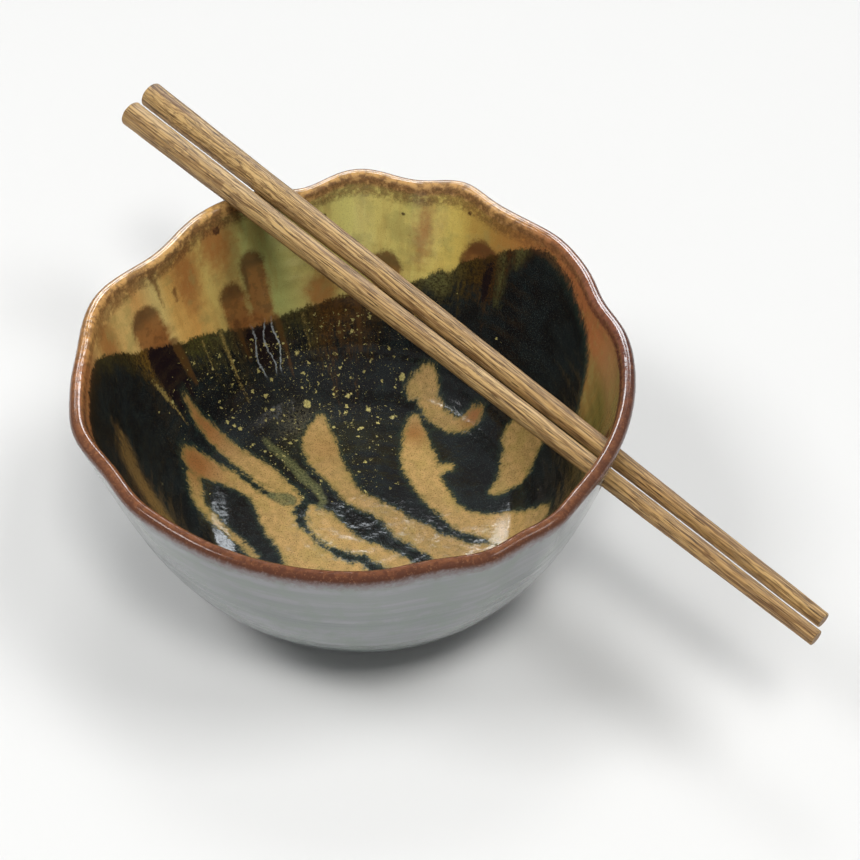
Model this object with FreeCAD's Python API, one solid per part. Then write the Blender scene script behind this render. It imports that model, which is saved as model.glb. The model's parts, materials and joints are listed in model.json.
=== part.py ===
"""Rice bowl with a pair of chopsticks: a thrown stoneware bowl and two round wooden sticks.

Frame: origin at the centre of the foot on the table, +Z up, millimetres and degrees.
Azimuth 0 is +X and azimuth 90 is +Y. The sticks lie on the lip at the back left and
leave the bowl through one oval slot in the wall at the front right.
"""
import FreeCAD, Part
import os
from math import cos, exp, hypot, pi, radians, sin, sqrt

Vector = FreeCAD.Vector
UP = Vector(0, 0, 1)

# Bowl
RIM_DIAMETER = 150.0      # across the widest part of the lip, without the flutes
BOWL_HEIGHT = 70.0        # table to the top of the lip, without the flutes
FOOT_DIAMETER = 62.0      # outside of the foot ring
FOOT_HEIGHT = 4.5         # table to the underside of the floor
FOOT_WIDTH = 5.0          # width of the foot ring at the table
FOOT_DRAFT = 0.8          # how much the ring widens from the table to the belly, each side
WALL = 4.8                # wall and floor
LIP_THICKNESS = 4.0       # wall where the lip starts to round over
LIP_ROUND = 2.4           # height of the rounded lip above its widest point
BELLY_FULLNESS = 2.9      # exponent of the belly curve: higher is fuller and flatter below
RIM_DRIFT = -2.2          # how far along X the hand-thrown rim lies off the foot's axis

# Hand-pressed flutes of the lip: azimuth, push outward (inward if negative), half width
FLUTES = (
    (19.0, -2.2, 8.0),
    (40.0, 0.9, 7.0),
    (66.0, 3.6, 7.0),
    (88.0, 3.0, 8.0),
    (102.0, -2.8, 7.0),
    (141.0, -4.2, 12.0),
    (160.0, 0.7, 7.0),
    (176.0, -0.8, 7.0),
    (198.0, 1.6, 8.0),
    (211.0, -0.5, 6.0),
    (222.0, 0.6, 6.0),
    (284.0, -1.2, 7.0),
    (297.0, 1.6, 6.5),
    (312.0, 1.5, 6.5),
)
FLUTE_FADE = 2.6          # power with which the flutes die out below the lip
FLUTE_LIFT = 0.2          # rise of the lip for each unit that it is pushed outward

# Chopsticks
STICK_LENGTH = 250.0
BUTT_DIAMETER = 7.6
TIP_DIAMETER = 4.35
END_CHAMFER = 0.3
BUTT_GAP = 2.0            # between the two sticks at their butt ends
TIP_GAP = 1.35            # between the two sticks at their tips
STAGGER = 2.0             # how much further in the front stick lies
BUTT_OVERHANG = 43.0      # butt ends to where the pair crosses the lip
LIP_CROSSING_AZIMUTH = 114.6
REST_GAP = 0.3            # between a stick and what it rests on

# Slot that the sticks pass through
SLOT_AZIMUTH = -22.8
SLOT_DEPTH = 10.5         # top of the lip down to the sticks' axes
SLOT_CLEARANCE = 0.8      # around the sticks, half of their height play above and below

# Sections of the bowl's skin
RING_POINTS = 96
WALL_SECTIONS = 9
LIP_SECTIONS = 6
SECTION_CROWDING = 1.5    # above 1, the sections crowd towards the lip

RIM_RADIUS = RIM_DIAMETER / 2
FOOT_RADIUS = FOOT_DIAMETER / 2
BELLY_HEIGHT = BOWL_HEIGHT - LIP_ROUND - FOOT_HEIGHT


def flute_push(azimuth):
    """Outward push of the lip at an azimuth, all flutes added up."""
    total = 0.0
    for centre, push, half_width in FLUTES:
        away = (azimuth - centre + 180.0) % 360.0 - 180.0
        total += push * exp(-(away / half_width) ** 2)
    return total


def belly_point(v):
    """Outer wall before the flutes, from the foot (v = 0) to the lip (v = 1): radius, height."""
    radius = FOOT_RADIUS + (RIM_RADIUS - FOOT_RADIUS) * v
    height = FOOT_HEIGHT + BELLY_HEIGHT * v ** BELLY_FULLNESS
    return radius, height


def belly_normal(v):
    """Outward normal of the outer wall in its section plane: radial part, upward part."""
    along_r = RIM_RADIUS - FOOT_RADIUS
    along_z = BELLY_HEIGHT * BELLY_FULLNESS * v ** (BELLY_FULLNESS - 1)
    size = hypot(along_r, along_z)
    return along_z / size, -along_r / size


def wall_thickness(v):
    """The wall thins to the lip over its last stretch only."""
    return WALL + (LIP_THICKNESS - WALL) * v ** 8


def lip_point(turn):
    """Rounded lip from its outside (turn = 0) over the top to its inside (turn = pi)."""
    radius, height = belly_point(1.0)
    out_r, out_z = belly_normal(1.0)
    half = LIP_THICKNESS / 2
    centre_r = radius - out_r * half
    centre_z = height - out_z * half
    top = (BOWL_HEIGHT - centre_z) / half
    stretch = sqrt(top ** 2 - out_z ** 2) / out_r
    across = half * cos(turn)
    along = half * stretch * sin(turn)
    return centre_r + out_r * across - out_z * along, centre_z + out_z * across + out_r * along


def skin_profile():
    """Sections of the skin, from the foot up the outside, over the lip and down to the floor.

    Each is radius, height and the share of the flutes that it takes.
    """
    steps = [1 - (1 - k / WALL_SECTIONS) ** SECTION_CROWDING for k in range(WALL_SECTIONS + 1)]
    profile = [(*belly_point(v), v) for v in steps]
    for k in range(1, LIP_SECTIONS):
        profile.append((*lip_point(pi * k / LIP_SECTIONS), 1.0))
    for v in reversed(steps):
        radius, height = belly_point(v)
        out_r, out_z = belly_normal(v)
        inset = wall_thickness(v)
        profile.append((radius - out_r * inset, height - out_z * inset, v))
    return profile


def skin_point(radius, height, v, azimuth):
    """Point of the skin, with its flutes and the drift of its centre."""
    push = flute_push(azimuth) * v ** (FLUTE_FADE * BELLY_FULLNESS)
    centre_x = RIM_DRIFT * v ** BELLY_FULLNESS
    angle = radians(azimuth)
    reach = radius + push
    return Vector(centre_x + reach * cos(angle), reach * sin(angle), height + FLUTE_LIFT * push)


def ring(radius, height, v):
    """Closed horizontal section of the skin."""
    step = 360.0 / RING_POINTS
    points = [skin_point(radius, height, v, k * step) for k in range(RING_POINTS)]
    curve = Part.BSplineCurve()
    curve.interpolate(Points=points, PeriodicFlag=True)
    return Part.Wire(curve.toShape())


def foot_ring():
    """Turned ring under the belly, a little wider where it meets it."""
    inner = FOOT_RADIUS - FOOT_WIDTH
    root = FOOT_HEIGHT + WALL / 2
    outline = Part.makePolygon([
        Vector(inner, 0, 0),
        Vector(FOOT_RADIUS, 0, 0),
        Vector(FOOT_RADIUS + FOOT_DRAFT, 0, FOOT_HEIGHT),
        Vector(FOOT_RADIUS + FOOT_DRAFT, 0, root),
        Vector(inner - FOOT_DRAFT, 0, root),
        Vector(inner - FOOT_DRAFT, 0, FOOT_HEIGHT),
        Vector(inner, 0, 0),
    ])
    return Part.Face(outline).revolve(Vector(0, 0, 0), UP, 360)


def stick_diameter(distance):
    """Diameter of a stick at a distance from its butt end."""
    return BUTT_DIAMETER + (TIP_DIAMETER - BUTT_DIAMETER) * distance / STICK_LENGTH


def stick_gap(distance):
    """Gap between the two sticks at a distance from their butt ends."""
    return BUTT_GAP + (TIP_GAP - BUTT_GAP) * distance / STICK_LENGTH


def lip_crossing():
    """Axis point of the pair above the lip, where the sticks rest on it."""
    radius, height = lip_point(pi / 2)
    top = skin_point(radius, height, 1.0, LIP_CROSSING_AZIMUTH)
    return top + UP * (stick_diameter(BUTT_OVERHANG) / 2 + REST_GAP)


def slot_crossing():
    """Axis point of the pair in the middle of the wall."""
    height = BOWL_HEIGHT - SLOT_DEPTH
    v = ((height - FOOT_HEIGHT) / BELLY_HEIGHT) ** (1 / BELLY_FULLNESS)
    radius = belly_point(v)[0] - WALL / 2
    middle = skin_point(radius, height, v, SLOT_AZIMUTH)
    return Vector(middle.x, middle.y, height)


def pair_line():
    """Middle line of the pair: butt end point, direction to the tip, level direction across."""
    start = lip_crossing()
    along = slot_crossing() - start
    along.normalize()
    across = UP.cross(along)
    across.normalize()
    return start - along * BUTT_OVERHANG, along, across


def stick_ends(side):
    """Butt and tip centres of one stick: side +1 is the back stick and -1 the front one."""
    butt, along, across = pair_line()
    butt_shift = side * (BUTT_DIAMETER + BUTT_GAP) / 2
    tip_shift = side * (TIP_DIAMETER + TIP_GAP) / 2
    start = butt + across * butt_shift - along * side * STAGGER / 2
    aim = butt + across * tip_shift + along * (STICK_LENGTH - side * STAGGER / 2)
    direction = aim - start
    direction.normalize()
    return start, start + direction * STICK_LENGTH


def chopstick(side):
    """Round tapered stick with flat ends and slightly eased edges."""
    butt, tip = stick_ends(side)
    body = Part.makeCone(BUTT_DIAMETER / 2, TIP_DIAMETER / 2, STICK_LENGTH, butt, tip - butt)
    rims = [edge for edge in body.Edges if edge.Closed and len(edge.Vertexes) == 1]
    return body.makeChamfer(END_CHAMFER, rims)


def slot_cutter():
    """Oval bar along the pair, longer than the wall is thick, that opens the slot."""
    butt, along, across = pair_line()
    upward = along.cross(across)
    middle = slot_crossing()
    reach = (middle - butt).dot(along)
    run = 3 * (WALL + stick_diameter(reach))
    largest = stick_diameter(reach - run / 2)
    half_height = largest / 2 + SLOT_CLEARANCE
    half_flat = (largest + stick_gap(reach)) / 2
    start = middle - along * run / 2 + upward * (SLOT_CLEARANCE - REST_GAP)
    corners = [
        start + across * half_flat + upward * half_height,
        start - across * half_flat + upward * half_height,
        start - across * half_flat - upward * half_height,
        start + across * half_flat - upward * half_height,
    ]
    left = start - across * (half_flat + half_height)
    right = start + across * (half_flat + half_height)
    outline = Part.Wire([
        Part.LineSegment(corners[0], corners[1]).toShape(),
        Part.Arc(corners[1], left, corners[2]).toShape(),
        Part.LineSegment(corners[2], corners[3]).toShape(),
        Part.Arc(corners[3], right, corners[0]).toShape(),
    ])
    return Part.Face(outline).extrude(along * run)


def bowl():
    """Fluted skin with its floor, on a foot ring, with the slot cut through the wall."""
    rings = [ring(radius, height, v) for radius, height, v in skin_profile()]
    body = Part.makeLoft(rings, True, False)
    body = body.fuse(foot_ring())
    return body.cut(slot_cutter())


def main():
    os.makedirs("parts", exist_ok=True)
    bowl().exportStep("parts/bowl.step")
    chopstick(1).exportStep("parts/chopstick_back.step")
    chopstick(-1).exportStep("parts/chopstick_front.step")


main()
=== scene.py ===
"""Rice bowl with a pair of chopsticks: the visual model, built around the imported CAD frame.

Lengths inside the shape code are millimetres; meshes are scaled to metres when they are made.
Azimuth 0 points along +X and 90 along +Y. "Edge" is the distance along the skin from the
highest point of the lip, positive down the inside and negative down the outside.
"""

import json
import math

import bpy
import numpy as np
from mathutils import Matrix, Vector, noise


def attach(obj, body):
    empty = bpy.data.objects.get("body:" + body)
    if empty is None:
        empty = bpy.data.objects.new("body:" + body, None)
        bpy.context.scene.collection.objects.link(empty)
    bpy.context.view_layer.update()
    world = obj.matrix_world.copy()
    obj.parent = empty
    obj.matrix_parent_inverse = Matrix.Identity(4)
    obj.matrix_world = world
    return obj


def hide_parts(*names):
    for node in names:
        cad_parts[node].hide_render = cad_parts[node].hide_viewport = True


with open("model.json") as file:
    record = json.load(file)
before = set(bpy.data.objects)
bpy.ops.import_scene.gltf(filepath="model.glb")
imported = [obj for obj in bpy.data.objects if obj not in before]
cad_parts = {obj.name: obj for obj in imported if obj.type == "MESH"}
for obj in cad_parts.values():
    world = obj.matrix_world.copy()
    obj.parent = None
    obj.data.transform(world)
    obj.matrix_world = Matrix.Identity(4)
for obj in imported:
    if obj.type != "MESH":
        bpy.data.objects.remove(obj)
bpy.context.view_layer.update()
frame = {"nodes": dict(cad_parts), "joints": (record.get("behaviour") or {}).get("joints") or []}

METRES = 0.001

# ---------------------------------------------------------------- bowl dimensions, as in CAD

RIM_RADIUS = 75.0
BOWL_HEIGHT = 70.0
FOOT_RADIUS = 31.0
FOOT_TOP_RADIUS = 31.8
FOOT_HEIGHT = 4.5
RECESS_RADIUS = 25.2
RECESS_MOUTH_RADIUS = 26.0
WALL = 4.8
LIP_THICKNESS = 4.0
LIP_ROUND = 2.4
BELLY_HEIGHT = BOWL_HEIGHT - LIP_ROUND - FOOT_HEIGHT
BELLY_FULLNESS = 2.9
RIM_DRIFT = -2.2
FLUTES = [
    (19.0, -2.2, 8.0), (40.0, 0.9, 7.0), (66.0, 3.6, 7.0), (88.0, 3.0, 8.0),
    (102.0, -2.8, 7.0), (141.0, -4.2, 12.0), (160.0, 0.7, 7.0), (176.0, -0.8, 7.0),
    (198.0, 1.6, 8.0), (211.0, -0.5, 6.0), (222.0, 0.6, 6.0), (284.0, -1.2, 7.0),
    (297.0, 1.6, 6.5), (312.0, 1.5, 6.5),
]
FLUTE_FADE = 2.6
FLUTE_LIFT = 0.2

SLOT_STICK = 5.48         # stick diameter that the slot is sized for
SLOT_GAP = 1.54           # gap between the sticks at the slot
SLOT_CLEARANCE = 0.8
SLOT_RAISE = 0.5
SLOT_AZIMUTH = -22.8

# ---------------------------------------------------------------- mesh density

AZIMUTH_STEPS = 440
WALL_RINGS = 58
LIP_RINGS = 14
FLOOR_RINGS = 36


# ================================================================ small helpers

def linear(colour):
    """0-255 display colour to the linear colour a shader takes."""
    c = np.asarray(colour, float) / 255.0
    return np.where(c <= 0.04045, c / 12.92, ((c + 0.055) / 1.055) ** 2.4)


def rgba(colour):
    return tuple(float(x) for x in linear(colour)) + (1.0,)


def smooth(low, high, x):
    t = np.clip((np.asarray(x, float) - low) / (high - low), 0.0, 1.0)
    return t * t * (3.0 - 2.0 * t)


def wrap(angle):
    """Angle in degrees to the range -180..180."""
    return (np.asarray(angle, float) + 180.0) % 360.0 - 180.0


def around(table, azimuth):
    """Value of a (azimuth, value...) table at each azimuth, joined up at +-180."""
    rows = sorted(table)
    az = np.array([r[0] for r in rows], float)
    az = np.concatenate([[az[-1] - 360.0], az, [az[0] + 360.0]])
    out = []
    for k in range(1, len(rows[0])):
        values = np.array([r[k] for r in rows], float)
        values = np.concatenate([[values[-1]], values, [values[0]]])
        out.append(np.interp(wrap(azimuth), az, values))
    return out


def ripple(seed, waves, a, b):
    """Sum of smooth seeded waves over two coordinates, about -1..1."""
    rng = np.random.default_rng(seed)
    total = np.zeros(np.broadcast(a, b).shape)
    for _ in range(waves):
        turns = rng.integers(1, 7)
        pitch = rng.uniform(0.02, 0.12)
        total = total + np.sin(np.radians(a) * turns + b * pitch + rng.uniform(0, 6.28))
    return total / math.sqrt(waves)


# ================================================================ bowl skin

def flute_push(azimuth):
    total = np.zeros(np.shape(azimuth))
    for where, push, half_width in FLUTES:
        away = wrap(np.asarray(azimuth) - where)
        total = total + push * np.exp(-(away / half_width) ** 2)
    return total


def belly_point(v):
    radius = FOOT_RADIUS + (RIM_RADIUS - FOOT_RADIUS) * v
    height = FOOT_HEIGHT + BELLY_HEIGHT * v ** BELLY_FULLNESS
    return radius, height


def belly_normal(v):
    along_r = RIM_RADIUS - FOOT_RADIUS
    along_z = BELLY_HEIGHT * BELLY_FULLNESS * v ** (BELLY_FULLNESS - 1.0)
    size = np.hypot(along_r, along_z)
    return along_z / size, -along_r / size


def wall_point(v):
    """Inner side of the wall, opposite belly_point(v)."""
    radius, height = belly_point(v)
    out_r, out_z = belly_normal(v)
    thick = WALL + (LIP_THICKNESS - WALL) * v ** 8
    return radius - out_r * thick, height - out_z * thick


def lip_point(turn):
    edge_r, edge_z = belly_point(1.0)
    out_r, out_z = belly_normal(1.0)
    half = LIP_THICKNESS / 2.0
    centre_r = edge_r - out_r * half
    centre_z = edge_z - out_z * half
    top = (BOWL_HEIGHT - centre_z) / half
    stretch = math.sqrt(top ** 2 - out_z ** 2) / out_r
    across = half * np.cos(turn)
    along = half * stretch * np.sin(turn)
    return centre_r + out_r * across - out_z * along, centre_z + out_z * across + out_r * along


def skin_point(radius, height, v, azimuth):
    push = flute_push(azimuth) * v ** (FLUTE_FADE * BELLY_FULLNESS)
    drift = RIM_DRIFT * v ** BELLY_FULLNESS
    reach = radius + push
    angle = np.radians(azimuth)
    return np.stack([drift + reach * np.cos(angle), reach * np.sin(angle),
                     height + FLUTE_LIFT * push], -1)


def throwing(inside, v, azimuth):
    """Height of the potter's finger ridges, fading out at the lip, the foot and the slot."""
    run = belly_point(v)[1] * 0.9 + (belly_point(v)[0] - FOOT_RADIUS) * 0.55
    lean = 0.5 * np.sin(np.radians(azimuth + 40.0)) + np.radians(azimuth) / 6.2832
    fine = np.sin(6.2832 * (run / 5.3 + lean)) + 0.5 * np.sin(6.2832 * (run / 2.9 - lean * 2.0))
    size = 0.07 if inside else 0.05
    wobble = (0.16 if inside else 0.08) * ripple(3 if inside else 4, 7, azimuth, run)
    keep = smooth(0.0, 0.12, v) * (1.0 - smooth(0.86, 0.97, v))
    near_slot = np.exp(-(wrap(azimuth - SLOT_AZIMUTH) / 13.0) ** 4) * smooth(0.72, 0.82, v)
    return (size * fine + wobble) * keep * (1.0 - near_slot)


def surface(inside, v, azimuth):
    """Point of the outer or inner side of the wall."""
    radius, height = wall_point(v) if inside else belly_point(v)
    out_r, out_z = belly_normal(v)
    lift = throwing(inside, v, azimuth) * (-1.0 if inside else 1.0)
    return skin_point(radius + out_r * lift, height + out_z * lift, v, azimuth)


def rounded(points, radii, steps):
    """Polyline in the (r, z) half-plane with its inner corners rounded."""
    out = [points[0]]
    for k in range(1, len(points) - 1):
        before, here, after = (np.array(p, float) for p in points[k - 1:k + 2])
        a = here + (before - here) / np.linalg.norm(before - here) * radii[k - 1]
        b = here + (after - here) / np.linalg.norm(after - here) * radii[k - 1]
        for t in np.linspace(0.0, 1.0, steps):
            out.append(tuple(a * (1 - t) ** 2 + here * 2 * t * (1 - t) + b * t ** 2))
    out.append(points[-1])
    return out


def even_v(count):
    """Values of v from 0 to 1 at equal steps along the belly curve."""
    fine = np.linspace(0.0, 1.0, 2000)
    r, z = belly_point(fine)
    run = np.concatenate([[0.0], np.cumsum(np.hypot(np.diff(r), np.diff(z)))])
    return np.interp(np.linspace(0.0, run[-1], count), run, fine)


def bowl_profile():
    """Rings of the skin in order: under the foot, up the outside, over the lip, down inside.

    Each row is (part, radius, height, v). Parts: 0 foot, 1 outside, 2 lip, 3 inside, 4 floor."""
    rows = []
    for r in (3.0, 7.0, 11.0, 15.0, 19.0, 22.5):
        rows.append((0, r, FOOT_HEIGHT, 0.0))
    foot = rounded(
        [(24.0, FOOT_HEIGHT), (RECESS_RADIUS, FOOT_HEIGHT), (RECESS_MOUTH_RADIUS, 0.0),
         (FOOT_RADIUS, 0.0), (FOOT_TOP_RADIUS, FOOT_HEIGHT), (34.2, FOOT_HEIGHT + 0.02)],
        [0.8, 0.8, 0.9, 0.9], 5)
    for r, z in foot[:-1]:
        rows.append((0, r, z, 0.0))
    inner = even_v(WALL_RINGS)
    for v in inner[2:]:
        r, z = belly_point(v)
        rows.append((1, r, z, v))
    for turn in np.linspace(0.0, math.pi, LIP_RINGS + 2)[1:-1]:
        r, z = lip_point(turn)
        rows.append((2, r, z, 1.0))
    for v in inner[::-1]:
        r, z = wall_point(v)
        rows.append((3, r, z, v))
    floor_z = FOOT_HEIGHT + WALL
    for r in np.linspace(FOOT_RADIUS, 0.0, FLOOR_RINGS + 1)[1:-1]:
        rows.append((4, r, floor_z, 0.0))
    return np.array(rows, float)


def floor_rings(radius, azimuth):
    """Faint finger spiral on the inside of the floor."""
    turn = radius / 4.6 + np.radians(azimuth) / 6.2832
    return 0.035 * np.sin(6.2832 * turn) * smooth(2.0, 7.0, radius) * (1.0 - smooth(24.0, 31.0, radius))


# ================================================================ the pair of sticks in the frame

def stick_line(node, joint_axis):
    """Butt centre, tip centre and end radii of a CAD stick, in millimetres."""
    axis = np.array(joint_axis, float)
    axis /= np.linalg.norm(axis)
    points = np.array([v.co for v in frame["nodes"][node].data.vertices], float) / METRES
    along = points @ axis
    side = np.cross(axis, [0.0, 0.0, 1.0])
    side /= np.linalg.norm(side)
    up = np.cross(side, axis)
    middle = points - np.outer(along, axis)
    ends = []
    for end in (along.max(), along.min()):
        ring = middle[np.abs(along - end) < 0.6]
        a, b = ring @ side, ring @ up
        centre = side * (a.max() + a.min()) / 2 + up * (b.max() + b.min()) / 2 + axis * end
        ends.append((centre, (a.max() - a.min() + b.max() - b.min()) / 4))
    return ends


AXES = {j["child"]: j["axis"] for j in frame["joints"]}
STICKS = {name: stick_line(name, AXES[name]) for name in ("chopstick_back", "chopstick_front")}


def pair_frame():
    """Middle line of the pair: a point on it, its direction to the tips, across, and upward."""
    butt = sum(STICKS[n][0][0] for n in STICKS) / 2
    tip = sum(STICKS[n][1][0] for n in STICKS) / 2
    along = (tip - butt) / np.linalg.norm(tip - butt)
    across = np.cross([0.0, 0.0, 1.0], along)
    across /= np.linalg.norm(across)
    upward = np.cross(along, across)
    return butt + upward * SLOT_RAISE, along, across, upward


# ================================================================ slot through the wall

SLOT_HALF_HEIGHT = SLOT_STICK / 2 + SLOT_CLEARANCE
SLOT_HALF_FLAT = (SLOT_STICK + SLOT_GAP) / 2
SLOT_EDGE_ROUND = 1.0


def plane_coords(points, pair):
    origin, _, across, upward = pair
    return (points - origin) @ across, (points - origin) @ upward


def find_on_wall(inside, target_a, target_b, pair):
    """v and azimuth of the wall points that fall on the given places across the slot."""
    v = np.full(np.shape(target_a), 0.95)
    azimuth = np.full(np.shape(target_a), SLOT_AZIMUTH)
    for _ in range(14):
        a, b = plane_coords(surface(inside, v, azimuth), pair)
        av, bv = plane_coords(surface(inside, v + 1e-4, azimuth), pair)
        aa, ba = plane_coords(surface(inside, v, azimuth + 1e-2), pair)
        m11, m12 = (av - a) / 1e-4, (aa - a) / 1e-2
        m21, m22 = (bv - b) / 1e-4, (ba - b) / 1e-2
        det = m11 * m22 - m12 * m21
        da, db = target_a - a, target_b - b
        v = np.clip(v + (m22 * da - m12 * db) / det, 0.6, 0.999)
        azimuth = azimuth + (m11 * db - m21 * da) / det
    return v, azimuth


def slot_outline(a, b, grow):
    """The slot outline, grown by a margin, at the point nearest to each (a, b)."""
    core = np.clip(a, -SLOT_HALF_FLAT, SLOT_HALF_FLAT)
    da, db = a - core, b
    size = np.maximum(np.hypot(da, db), 1e-9)
    return core + da / size * (SLOT_HALF_HEIGHT + grow), db / size * (SLOT_HALF_HEIGHT + grow)


# ================================================================ glaze layout on the inside

# Lower edge of the upper glaze, as depth below the lip's inner edge at each azimuth.
DIP_LINE = [
    (-180, 2.5), (-168, 3.5), (-155, 4.0), (-140, 5.5), (-128, 4.5), (-112, 6.5), (-98, 5.0),
    (-84, 6.5), (-70, 6.0), (-58, 9.0), (-46, 12.0), (-36, 17.0), (-26, 24.0), (-16, 29.0),
    (-5, 31.0), (6, 31.0), (9, 29.0), (11, 24.0), (14, 15.0), (17, 10.0), (20, 7.0), (25, 6.0),
    (30, 3.5), (35, 3.0), (40, 2.0), (45, 4.0), (50, 8.0), (54, 12.0), (57, 14.5), (60, 17.0),
    (63, 19.0), (65, 24.0), (68, 23.5), (72, 27.0), (76, 29.0), (85, 33.0), (96, 34.5),
    (105, 36.0), (115, 38.0), (120, 38.0), (125, 36.5), (130, 34.0), (135, 32.0), (140, 30.0),
    (145, 28.0), (150, 25.0), (155, 22.0), (160, 18.5), (165, 13.0), (170, 8.0), (175, 3.5),
]

# Upper glaze colour, colour just under the dip line, and how far down that colour lasts.
WALL_TINTS = [
    (-165, 150, 92, 54, 48, 36, 24, 4), (-140, 156, 104, 58, 55, 42, 26, 5),
    (-110, 162, 116, 62, 60, 50, 26, 7), (-80, 156, 110, 60, 60, 50, 28, 6),
    (-50, 144, 104, 58, 66, 56, 30, 8), (-25, 134, 100, 56, 80, 70, 36, 9),
    (-8, 140, 112, 62, 78, 70, 36, 8), (6, 148, 104, 62, 60, 54, 28, 6),
    (14, 152, 92, 52, 34, 30, 22, 4), (30, 166, 96, 54, 30, 24, 20, 3),
    (42, 158, 96, 50, 40, 28, 20, 3), (48, 152, 100, 48, 70, 44, 24, 8),
    (54, 150, 108, 50, 84, 58, 26, 13), (60, 160, 128, 60, 84, 66, 28, 12),
    (64, 178, 150, 72, 92, 84, 46, 8), (70, 186, 162, 82, 112, 106, 68, 6),
    (76, 184, 166, 88, 70, 62, 30, 8), (84, 180, 160, 86, 74, 56, 28, 12),
    (92, 182, 168, 92, 96, 68, 32, 17), (100, 180, 160, 88, 104, 72, 32, 19),
    (106, 170, 156, 86, 84, 78, 42, 9), (112, 148, 148, 82, 74, 70, 40, 8),
    (118, 148, 144, 80, 62, 44, 28, 8), (124, 168, 136, 72, 76, 52, 30, 9),
    (130, 178, 150, 80, 92, 88, 54, 10), (137, 182, 132, 66, 82, 80, 40, 11),
    (143, 190, 146, 76, 80, 78, 38, 9), (147, 194, 168, 100, 70, 52, 28, 10),
    (152, 186, 136, 74, 52, 28, 26, 24), (157, 190, 154, 88, 122, 92, 38, 13),
    (163, 186, 146, 82, 68, 60, 32, 7), (172, 188, 146, 82, 78, 72, 42, 5),
    (181, 168, 108, 60, 60, 46, 28, 5),
]

# Lip colour, and strength of the dark mottled line just inside it.
LIP_TINTS = [
    (-165, 142, 92, 60, 0.2), (-120, 126, 78, 50, 0.1), (-90, 120, 73, 47, 0.1),
    (-60, 126, 79, 51, 0.1), (-30, 128, 82, 54, 0.1), (0, 110, 67, 50, 0.2),
    (20, 132, 82, 60, 0.3), (40, 160, 106, 66, 0.6), (55, 198, 152, 92, 0.9),
    (70, 200, 156, 98, 1.0), (100, 202, 158, 98, 1.0), (120, 206, 162, 98, 1.0),
    (150, 208, 162, 98, 0.95), (172, 200, 148, 86, 0.5), (186, 170, 112, 66, 0.3),
]

# Thumb-like drips in the upper glaze: azimuth, depth of the top, half width in degrees.
THUMBS = [(152.0, 10.0, 4.6), (124.5, 22.0, 3.4), (117.0, 15.0, 3.1), (82.0, 20.5, 3.8),
          (57.0, 10.5, 5.2)]

# Brushed tan glaze in plan: each stroke is a run of (x, y, half width).
TAN_STROKES = [
    [(-47, 13, 4.3), (-41, 13, 3.3), (-35, 11, 3.0), (-30, 8, 3.5), (-26, 3, 5.0),
     (-23, -3, 6.0), (-20, -8, 6.5), (-15, -13, 6.0), (-10, -17, 5.0), (-4, -20, 4.0)],
    [(-48, 8, 2.0), (-46, 0, 1.8), (-43, -3, 1.8), (-40, -6, 1.2), (-34, -12, 1.0),
     (-30, -17, 1.2)],
    [(-50, 27.5, 0.8), (-47, 25.5, 1.8), (-43, 24, 2.6), (-37, 21, 3.0), (-31, 17, 3.5),
     (-27, 13, 3.5), (-23, 9, 2.5), (-19, 6, 2.0), (-18, 3, 1.5)],
    [(-12, 36, 1.2), (-12.5, 31, 3.8), (-12.5, 26, 5.2), (-11, 20, 5.0), (-8, 15, 4.0),
     (-6, 11, 3.5), (-4, 7, 3.0), (-1, 4, 3.0), (4, 1, 3.0), (8, -2, 3.2), (12, -7, 4.0),
     (17, -10, 4.5), (22, -14, 5.0), (28, -17, 5.0), (35, -18, 5.0), (44, -20, 4.0)],
    [(-14, 0, 2.5), (-11, -4, 4.0), (-8, -9, 4.5), (-2, -13, 3.0), (4, -16, 3.0),
     (9, -19, 3.0), (14, -23, 3.2)],
    [(15.5, 35, 1.8), (15.5, 29, 3.6), (16, 22, 5.0), (17, 16, 5.4), (19, 10, 4.5),
     (22, 4, 4.0), (24, 0, 4.0), (28, -4, 4.0), (34, -6, 4.5), (42, -6, 4.0), (48, -9, 4.0)],
    [(21, 15, 2.0), (25, 16.5, 1.6)],
    [(35, -8, 3.0), (42, -12, 4.5), (48, -16, 4.0), (54, -20, 2.5)],
    [(16, 44, 3.0), (19, 45, 3.5), (20, 40, 3.0), (22, 36, 3.0), (26, 32, 2.5),
     (30, 31, 2.2), (33, 33, 2.6)],
    [(44, 23, 3.5), (46, 17, 6.0), (43.5, 11, 4.6), (38, 6.5, 1.8)],
    # towards the hidden near wall
    [(-20, -12, 4.0), (-17, -20, 4.5), (-14, -28, 4.0), (-12, -38, 3.0), (-11, -50, 1.6)],
    [(-4, -20, 4.0), (2, -27, 3.4), (6, -36, 3.0), (9, -47, 2.0), (11, -56, 0.8)],
    [(14, -23, 3.2), (20, -30, 3.4), (25, -38, 3.0), (29, -47, 1.6)],
    [(28, -17, 4.0), (36, -25, 4.2), (42, -33, 3.0), (46, -40, 1.4)],
    [(-38, -18, 1.2), (-40, -26, 3.0), (-40, -34, 2.6), (-38, -42, 1.2)],
]

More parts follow.
